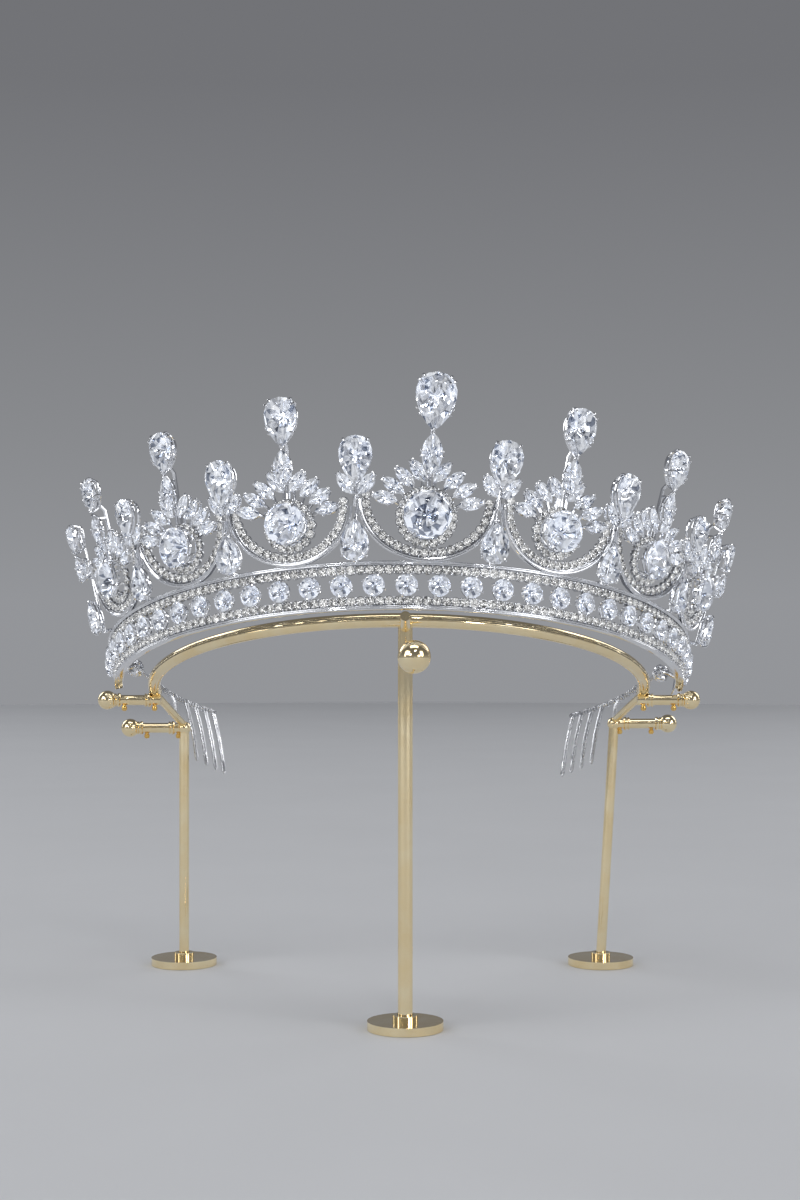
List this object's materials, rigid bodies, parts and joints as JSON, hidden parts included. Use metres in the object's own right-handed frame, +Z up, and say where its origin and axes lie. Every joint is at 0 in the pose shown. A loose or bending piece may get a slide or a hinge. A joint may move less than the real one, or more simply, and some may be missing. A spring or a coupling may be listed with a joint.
{
  "type": "wedding crown on a display stand",
  "caption": "Half-round silver-coloured crown set with clear round, pear and marquise stones, resting on a gold rod stand with slim posts.",
  "frame": {"origin": "middle of the front foot's underside, on the floor", "axes": "+Z up, the crown's front towards -Y, +X to the right of the crown seen from the front"},
  "size_m": [0.1765, 0.1224, 0.1535],
  "materials": {
    "silver": "polished bright white plating",
    "stone": "cut and polished clear stone",
    "gold": "polished gold-coloured plating"
  },
  "bodies": {
    "root": {"crown_frame": "silver", "band_stones": "stone", "fan_marquises": "stone", "round_centre": "stone", "round_left_1": "stone", "round_left_2": "stone", "round_left_3": "stone", "round_right_1": "stone", "round_right_2": "stone", "round_right_3": "stone", "tall_pear_centre": "stone", "tall_pear_left_1": "stone", "tall_pear_left_2": "stone", "tall_pear_left_3": "stone", "tall_pear_right_1": "stone", "tall_pear_right_2": "stone", "tall_pear_right_3": "stone", "top_marquise_centre": "stone", "top_marquise_left_1": "stone", "top_marquise_left_2": "stone", "top_marquise_left_3": "stone", "top_marquise_right_1": "stone", "top_marquise_right_2": "stone", "top_marquise_right_3": "stone", "upright_pear_left_1": "stone", "upright_pear_left_2": "stone", "upright_pear_left_3": "stone", "upright_pear_left_4": "stone", "upright_pear_right_1": "stone", "upright_pear_right_2": "stone", "upright_pear_right_3": "stone", "upright_pear_right_4": "stone", "drop_pear_left_1": "stone", "drop_pear_left_2": "stone", "drop_pear_left_3": "stone", "drop_pear_left_4": "stone", "drop_pear_right_1": "stone", "drop_pear_right_2": "stone", "drop_pear_right_3": "stone", "drop_pear_right_4": "stone", "comb_left": "silver", "comb_right": "silver", "stand_frame": "gold", "ball_front": "gold", "ball_left": "gold", "ball_right": "gold", "ball_rear_left": "gold", "ball_rear_right": "gold", "foot_front": "gold", "foot_left": "gold", "foot_right": "gold"}
  },
  "joints": []
}
